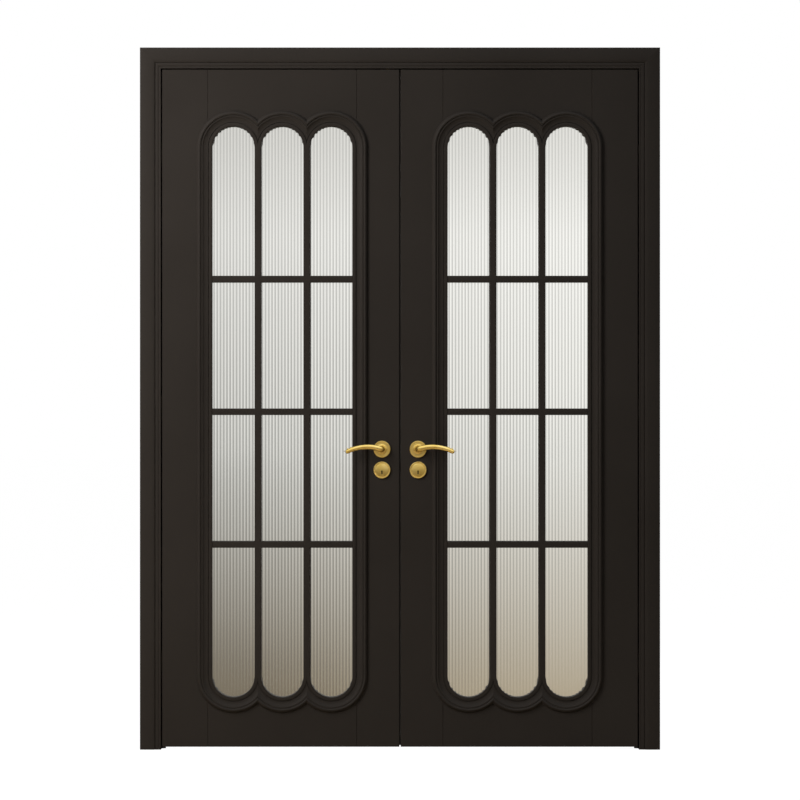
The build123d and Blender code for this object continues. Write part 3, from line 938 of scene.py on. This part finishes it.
def rose_outline(sizes):
    """The lever rose: rim, dished ring, raised boss and the bore for the neck."""
    edge, boss, bore = sizes.rounding, sizes.boss_radius, sizes.bore_radius
    top, dish = rose_thickness, sizes.dish_height
    flare = 3 * edge
    points = rim_outline(sizes)
    points += rounded((boss + flare, dish), (boss, dish), (boss, top - edge), 5)
    points += rounded((boss, top - edge), (boss, top), (boss - edge, top), 4)[1:]
    points += rounded((bore + edge / 2, top), (bore, top), (bore, top - edge / 2), 3)
    points.append(Vector((bore, 0)))
    return points


def keyhole_plate_outline(sizes):
    """The keyhole plate: rim, fine groove and a faintly domed face."""
    edge, dish = sizes.rounding, sizes.dish_height
    inner = rose_radius - sizes.rim_width - edge
    face = sizes.rim_height
    points = rim_outline(sizes)
    points += rounded((inner, dish), (inner, face), (inner - edge, face), 4)
    points.append(Vector((0, face + edge / 4)))
    return points


# Facets in each round end of a keyhole
KEYHOLE_STEPS = 8


class DOORS_OT_roses(Operator):
    """Turns the lever roses and the keyhole plates"""

    bl_idname = "doors.roses"
    bl_label = "Roses and keyhole plates"

    def execute(self, context):
        sizes = context.scene.door_furniture
        for side in SIDES:
            self.make(side, "roses", lock_height, rose_outline(sizes), sizes)
            plates = self.make(side, "escutcheons", key_height, keyhole_plate_outline(sizes), sizes)
            self.pierce(plates, side)
        return {"FINISHED"}

    def make(self, side, group, height, outline, sizes):
        """The front and rear roses of one leaf, as one piece."""
        bm = bmesh.new()
        for face in FACES:
            turned(bm, outline, sizes.turned_steps, side, face, height)
        return dress(f"{side}_{group}", "satin_brass", closed_mesh(bm), ROUND_ANGLE)

    def pierce(self, plates, side):
        """Cuts the keyhole through both plates."""
        half_width = (keyhole_high.x - keyhole_low.x) / 2
        half_height = (keyhole_high.z - keyhole_low.z) / 2 - half_width
        middle = (keyhole_low.z + keyhole_high.z) / 2
        outline = []
        for end in (1, -1):
            for i in range(KEYHOLE_STEPS + 1):
                turn = math.pi * i / KEYHOLE_STEPS
                across, up = math.cos(turn) * half_width, half_height + math.sin(turn) * half_width
                outline.append((end * across, end * up))
        reach = 2 * rose_thickness
        ends = [
            [on_leaf(side, face, spindle_x + across, reach, middle + up) for across, up in outline]
            for face in FACES
        ]
        cutter = object_of("keyhole_cutter", closed_mesh(prism(*ends)))
        modifier = plates.modifiers.new("keyhole", "BOOLEAN")
        modifier.object = cutter
        modifier.operation = "DIFFERENCE"
        modifier.solver = "EXACT"
        pierced = evaluated_mesh(plates)
        plates.modifiers.remove(modifier)
        bpy.data.objects.remove(cutter)
        plates.data = pierced
        pierced.set_sharp_from_angle(angle=math.radians(ROUND_ANGLE))


def circle_through(first, second, third):
    """The centre of the circle through three points of a plane."""
    ax, ay = second - first
    bx, by = third - first
    area = 2 * (ax * by - ay * bx)
    a_square, b_square = ax * ax + ay * ay, bx * bx + by * by
    return first + Vector((by * a_square - ay * b_square, ax * b_square - bx * a_square)) / area


# Height over the leaf where a lever's neck starts, as a share of the rose's thickness
NECK_FOOT_SHARE = 1 / 16

# Stations along a lever's spine
NECK_STEPS = 4
ELBOW_STEPS = 10
GRIP_STEPS = 28
TIP_STEPS = 6


def lever_stations(sizes):
    """The lever's spine: middle, direction, up, half height and half depth at each station."""
    tip = Vector((lever_reach - sizes.tip_radius, -sizes.tip_drop))
    centre = circle_through(Vector((0, 0)), tip / 2 + Vector((0, sizes.rise)), tip)
    radius = centre.length
    start = math.atan2(-centre.y, -centre.x)
    stop = math.atan2(tip.y - centre.y, tip.x - centre.x)
    spine_length = radius * (start - stop)
    out = Vector((0, 0, 1))
    neck, elbow = sizes.neck_radius, sizes.elbow_radius
    half_depth = sizes.grip_depth / 2
    grip_out = lever_front - half_depth
    neck_foot = rose_thickness * NECK_FOOT_SHARE
    neck_top = grip_out - elbow

    def spine(distance):
        turn = start - distance / radius
        point = centre + Vector((math.cos(turn), math.sin(turn))) * radius
        along = Vector((math.sin(turn), -math.cos(turn)))
        return point.to_3d(), along.to_3d(), Vector((-along.y, along.x, 0))

    stations = []
    point, _, up = spine(0.0)
    for i in range(NECK_STEPS):
        height = neck_foot + (neck_top - neck_foot) * i / NECK_STEPS
        stations.append((point + out * height, out, up, neck, neck))
    for i in range(ELBOW_STEPS + 1):
        blend = i / ELBOW_STEPS
        turn = math.pi / 2 * blend
        point, along, up = spine(elbow * (1 - math.cos(turn)))
        middle = point + out * (neck_top + elbow * math.sin(turn))
        direction = along * math.sin(turn) + out * math.cos(turn)
        half_height = neck + (sizes.hub_radius - neck) * blend
        stations.append((middle, direction, up, half_height, neck + (half_depth - neck) * blend))
    for i in range(1, GRIP_STEPS + 1):
        blend = i / GRIP_STEPS
        point, along, up = spine(elbow + (spine_length - elbow) * blend)
        half_height = sizes.hub_radius + (sizes.tip_radius - sizes.hub_radius) * blend
        stations.append((point + out * grip_out, along, up, half_height, half_depth))
    point, along, up = spine(spine_length)
    for i in range(1, TIP_STEPS + 1):
        turn = math.pi / 2 * i / TIP_STEPS
        middle = point + out * grip_out + along * sizes.tip_radius * math.sin(turn)
        shrink = math.cos(turn)
        stations.append((middle, along, up, sizes.tip_radius * shrink, half_depth * shrink))
    return stations


class DOORS_OT_levers(Operator):
    """Makes the four bowed lever handles"""

    bl_idname = "doors.levers"
    bl_label = "Levers"

    def execute(self, context):
        sizes = context.scene.door_furniture
        stations = lever_stations(sizes)
        for side, face in LEAF_FACES:
            shape = self.grip(stations, sizes.grip_steps, side, face)
            dress(f"{side}_{face}_lever", "satin_brass", closed_mesh(shape), LEVER_ANGLE)
        return {"FINISHED"}

    def grip(self, stations, steps, side, face):
        """One lever, swept along its spine."""
        bm = bmesh.new()
        turns = [2 * math.pi * i / steps for i in range(steps)]
        rings = []
        for middle, direction, up, half_height, half_depth in stations:
            sideways = direction.cross(up)
            ring = []
            for turn in turns:
                rise, depth = half_height * math.sin(turn), half_depth * math.cos(turn)
                point = middle + up * rise + sideways * depth
                place = on_leaf(side, face, spindle_x - point.x, point.z, lock_height + point.y)
                ring.append(bm.verts.new(place))
            rings.append(ring)
        for first, second in zip(rings, rings[1:]):
            bridge(bm, first, second)
        bm.faces.new(rings[0])
        return bm


# Seal where the leaves meet


class DOORS_OT_meeting_seal(Operator):
    """Makes the left leaf's rubber seal, with the soft lip that closes the gap"""

    bl_idname = "doors.meeting_seal"
    bl_label = "Meeting seal"

    def execute(self, context):
        node = "left_meeting_seal"
        low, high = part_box(node)
        sizes = context.scene.door_seal
        edge = sizes.rounding
        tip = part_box("right_lock_stile")[0].x - sizes.lip_clearance
        lip_middle = (low.y + high.y) / 2
        lip_front = lip_middle - sizes.lip_thickness / 2
        lip_back = lip_middle + sizes.lip_thickness / 2
        outline = [Vector((low.x, low.y))]
        outline += rounded((high.x - edge, low.y), (high.x, low.y), (high.x, low.y + edge), 4)
        outline += [Vector((high.x, lip_front))]
        outline += rounded((tip - edge, lip_front), (tip, lip_front), (tip, lip_middle), 4)
        outline += rounded((tip, lip_middle), (tip, lip_back), (tip - edge, lip_back), 4)[1:]
        outline += [Vector((high.x, lip_back))]
        outline += rounded((high.x, high.y - edge), (high.x, high.y), (high.x - edge, high.y), 4)
        outline += [Vector((low.x, high.y))]
        ends = [[Vector((p.x, p.y, z)) for p in outline] for z in (low.z, high.z)]
        dress(node, "seal_rubber", closed_mesh(prism(*ends)))
        return {"FINISHED"}


# Pieces that keep their solids

# Finish of a solid, by the first of these words that is in its name
SOLID_FINISHES = {
    "seal": "seal_rubber",
    "stile": "dark_paint",
    "rail": "dark_paint",
    "jamb": "dark_paint",
    "forend": "satin_brass",
    "strike": "satin_brass",
    "keeper": "satin_brass",
    # Lock cases and hinges take the dark case steel, whose darkness is partly painted shade for the
    # keyhole slots and gaps where they show
    "_case": "case_steel",
    "hinge": "case_steel",
    "": "steel",
}


class DOORS_OT_joinery(Operator):
    """Gives the solids that stay in sight their finishes"""

    bl_idname = "doors.joinery"
    bl_label = "Joinery and fittings"

    def execute(self, context):
        for name, node in frame["nodes"].items():
            if node.hide_render:
                continue
            word = next(word for word in SOLID_FINISHES if word in name)
            node.data.materials.clear()
            node.data.materials.append(finish(SOLID_FINISHES[word]))
        return {"FINISHED"}


# Stage

WHITE = (1.0, 1.0, 1.0, 1.0)

# Place, size and tone of each soft light, and the place that all of them look at
LIGHTS = {
    "key": ((-2.2, -2.05, 2.45), (1.2, 2.6), (1.0, 0.975, 0.94)),
    "fill": ((3.2, -3.8, 1.6), (2.5, 2.5), (0.97, 0.985, 1.0)),
    "rear": ((2.6, 3.4, 2.0), (2.5, 2.5), (1.0, 0.99, 0.97)),
}
LIGHT_AIM = Vector((-0.2, leaf_low.y, 1.3))

# Lower tones of the room, in its light and in gloss, and how they turn white upwards
ROOM_FOOT = (0.80, 0.77, 0.72, 1.0)
ROOM_WHITE_FROM = 0.5
GLOSS_FOOT = (0.20, 0.16, 0.12, 1.0)
GLOSS_LEVEL = 0.35
GLOSS_RISE = 0.9

# Heights over the horizon, from -1 to 1, where the backdrop's tones through the glass lie
HAZE_LOW = -0.02
HAZE_MID = 0.042
HAZE_TOP = 0.075
SWING_TOP = 0.06

# Sideways swing of the brightness through the glass, and its pivot behind the doors, in metres
SWING_RATE = 10.0
SWING_PIVOT = 2.0


def soft_light(name, place, size, tone, power):
    """A large soft box that looks at the doors."""
    data = bpy.data.lights.new(name, "AREA")
    data.shape = "RECTANGLE"
    data.size, data.size_y = size
    data.energy = power
    data.color = tone
    light = object_of(name, data)
    light.location = place
    light.rotation_euler = (LIGHT_AIM - Vector(place)).to_track_quat("-Z", "Y").to_euler()
    light.visible_camera = False
    light.visible_glossy = False
    light.visible_transmission = False


def by_ray(tree, output, shader, kinds):
    """Shows each kind of ray its own shader, and all others the plain one."""
    path = tree.nodes.new("ShaderNodeLightPath").outputs
    for kind, own in kinds.items():
        shader = result_of(tree, "ShaderNodeMixShader", path[kind], shader, own)
    tree.links.new(shader, output.inputs["Surface"])


def side_glow(tree, sideways, swing):
    """Brightness that swings gently to the sides, so that each flute shows a light and a dark edge."""
    wave = maths(tree, "SINE", maths(tree, "MULTIPLY", sideways, SWING_RATE))
    return maths(tree, "MULTIPLY_ADD", wave, swing, 1.0)


class DOORS_OT_stage(Operator):
    """Sets the pale floor, the studio light and the camera"""

    bl_idname = "doors.stage"
    bl_label = "Stage"

    def execute(self, context):
        settings = context.scene.door_stage
        self.floor(settings)
        self.room(settings)
        for name, light in LIGHTS.items():
            soft_light(name, *light, getattr(settings, name + "_power"))
        self.camera(settings)
        context.scene.view_settings.view_transform = "Standard"
        return {"FINISHED"}

    def floor(self, settings):
        """A wide pale floor, that goes over into the backdrop. Through the glass it glows instead with
        a painted shadow of the doors: dark and warm near them, pale far off.
        """
        bm = bmesh.new()
        bmesh.ops.create_grid(bm, x_segments=1, y_segments=1, size=settings.floor_reach)
        mesh = bpy.data.meshes.new("studio_floor")
        bm.to_mesh(mesh)
        bm.free()
        floor = object_of("studio_floor", mesh)
        material = bpy.data.materials.new("studio_floor")
        material.use_nodes = True
        tree = material.node_tree
        tree.nodes.remove(tree.nodes["Principled BSDF"])
        glow = result_of(tree, "ShaderNodeEmission", Color=WHITE, Strength=settings.floor_glow)
        pale = result_of(tree, "ShaderNodeBsdfDiffuse", Color=settings.floor_tone)
        lit = result_of(tree, "ShaderNodeBsdfDiffuse", Color=settings.floor_bounce)
        axes = axes_of(tree, add_node(tree, "ShaderNodeTexCoord").outputs["Object"])
        depth = maths(tree, "ABSOLUTE", axes["Y"])
        far = maths(tree, "DIVIDE", depth, maths(tree, "ADD", depth, settings.camera_distance))
        slope = maths(tree, "DIVIDE", axes["X"], maths(tree, "ADD", depth, SWING_PIVOT))
        far_end = settings.floor_reach / (settings.floor_reach + settings.camera_distance)
        # Painted shadow of the doors on the floor behind them, seen only through the glass: dark and
        # warm near the doors, fading to the far floor's tone
        painted_floor_shadow = tone_ramp(tree, far, (0.0, settings.near_floor_painted_shadow), (far_end, settings.far_floor))
        swing = side_glow(tree, slope, settings.floor_swing)
        kinds = {
            "Is Transmission Ray": result_of(tree, "ShaderNodeEmission", Color=painted_floor_shadow, Strength=swing),
            "Is Camera Ray": result_of(tree, "ShaderNodeAddShader", glow, pale),
        }
        by_ray(tree, tree.nodes["Material Output"], lit, kinds)
        mesh.materials.append(material)

    def room(self, settings):
        """A white backdrop, and the soft light of a pale room."""
        world = bpy.data.worlds.new("studio")
        bpy.context.scene.world = world
        world.use_nodes = True
        tree = world.node_tree
        tree.nodes.remove(tree.nodes["Background"])
        axes = axes_of(tree, add_node(tree, "ShaderNodeTexCoord").outputs["Generated"])
        room_tone = tone_ramp(tree, axes["Z"], (0.0, ROOM_FOOT), (ROOM_WHITE_FROM, WHITE))
        upright = maths(tree, "MULTIPLY_ADD", axes["Z"], GLOSS_RISE, GLOSS_LEVEL)
        gloss_tone = tone_ramp(tree, upright, (0.0, GLOSS_FOOT), (1.0, WHITE))
        haze = tone_ramp(
            tree, maths(tree, "SUBTRACT", axes["Z"], HAZE_LOW), (0.0, settings.low_haze),
            (HAZE_MID - HAZE_LOW, settings.mid_haze), (HAZE_TOP - HAZE_LOW, settings.top_haze),
        )
        limits = {"To_Min": settings.low_swing, "To_Max": settings.high_swing}
        swing = result_of(tree, "ShaderNodeMapRange", Value=axes["Z"], From_Max=SWING_TOP, **limits)
        glow = side_glow(tree, axes["X"], swing)

        def backdrop(tone, strength):
            return result_of(tree, "ShaderNodeBackground", Color=tone, Strength=strength)

        kinds = {
            "Is Glossy Ray": backdrop(gloss_tone, settings.mirrored),
            "Is Transmission Ray": backdrop(haze, glow),
            "Is Camera Ray": backdrop(WHITE, 1.0),
        }
        by_ray(tree, tree.nodes["World Output"], backdrop(room_tone, settings.ambience), kinds)

    def camera(self, settings):
        """A level camera in front of the doors."""
        data = bpy.data.cameras.new("camera")
        data.lens = data.sensor_width * settings.camera_distance / settings.view_width
        camera = object_of("camera", data)
        camera.location = (0.0, leaf_low.y - settings.camera_distance, settings.view_height)
        camera.rotation_euler = (math.pi / 2, 0.0, 0.0)
        bpy.context.scene.camera = camera


OPERATORS = (
    DOORS_OT_casings,
    DOORS_OT_mouldings,
    DOORS_OT_glazing_bars,
    DOORS_OT_glass,
    DOORS_OT_roses,
    DOORS_OT_levers,
    DOORS_OT_meeting_seal,
    DOORS_OT_joinery,
    DOORS_OT_stage,
)


class DOORS_PT_panel(Panel):
    """Lists the steps that dress the doors"""

    bl_label = "French Doors"
    bl_idname = "DOORS_PT_panel"
    bl_space_type = "VIEW_3D"
    bl_region_type = "UI"
    bl_category = "French Doors"

    def draw(self, context):
        for operator in OPERATORS:
            self.layout.operator(operator.bl_idname)


GROUPS = {
    "door_casing": CasingSizes,
    "door_moulding": MouldingSizes,
    "door_glass": GlassSizes,
    "door_seal": SealSizes,
    "door_furniture": FurnitureSizes,
    "door_finishes": FinishLooks,
    "door_stage": StageSettings,
}


def register():
    """Registers the sizes, the steps and the panel."""
    for group in GROUPS.values():
        bpy.utils.register_class(group)
    for name, group in GROUPS.items():
        setattr(bpy.types.Scene, name, PointerProperty(type=group))
    for operator in OPERATORS:
        bpy.utils.register_class(operator)
    bpy.utils.register_class(DOORS_PT_panel)


def unregister():
    """Takes everything back."""
    bpy.utils.unregister_class(DOORS_PT_panel)
    for operator in reversed(OPERATORS):
        bpy.utils.unregister_class(operator)
    for name in GROUPS:
        delattr(bpy.types.Scene, name)
    for group in reversed(GROUPS.values()):
        bpy.utils.unregister_class(group)


def main():
    """Dresses the doors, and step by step."""
    register()
    bpy.ops.doors.casings()
    bpy.ops.doors.mouldings()
    bpy.ops.doors.glazing_bars()
    bpy.ops.doors.glass()
    bpy.ops.doors.roses()
    bpy.ops.doors.levers()
    bpy.ops.doors.meeting_seal()
    bpy.ops.doors.joinery()
    bpy.ops.doors.stage()


if __name__ == "__main__":
    main()
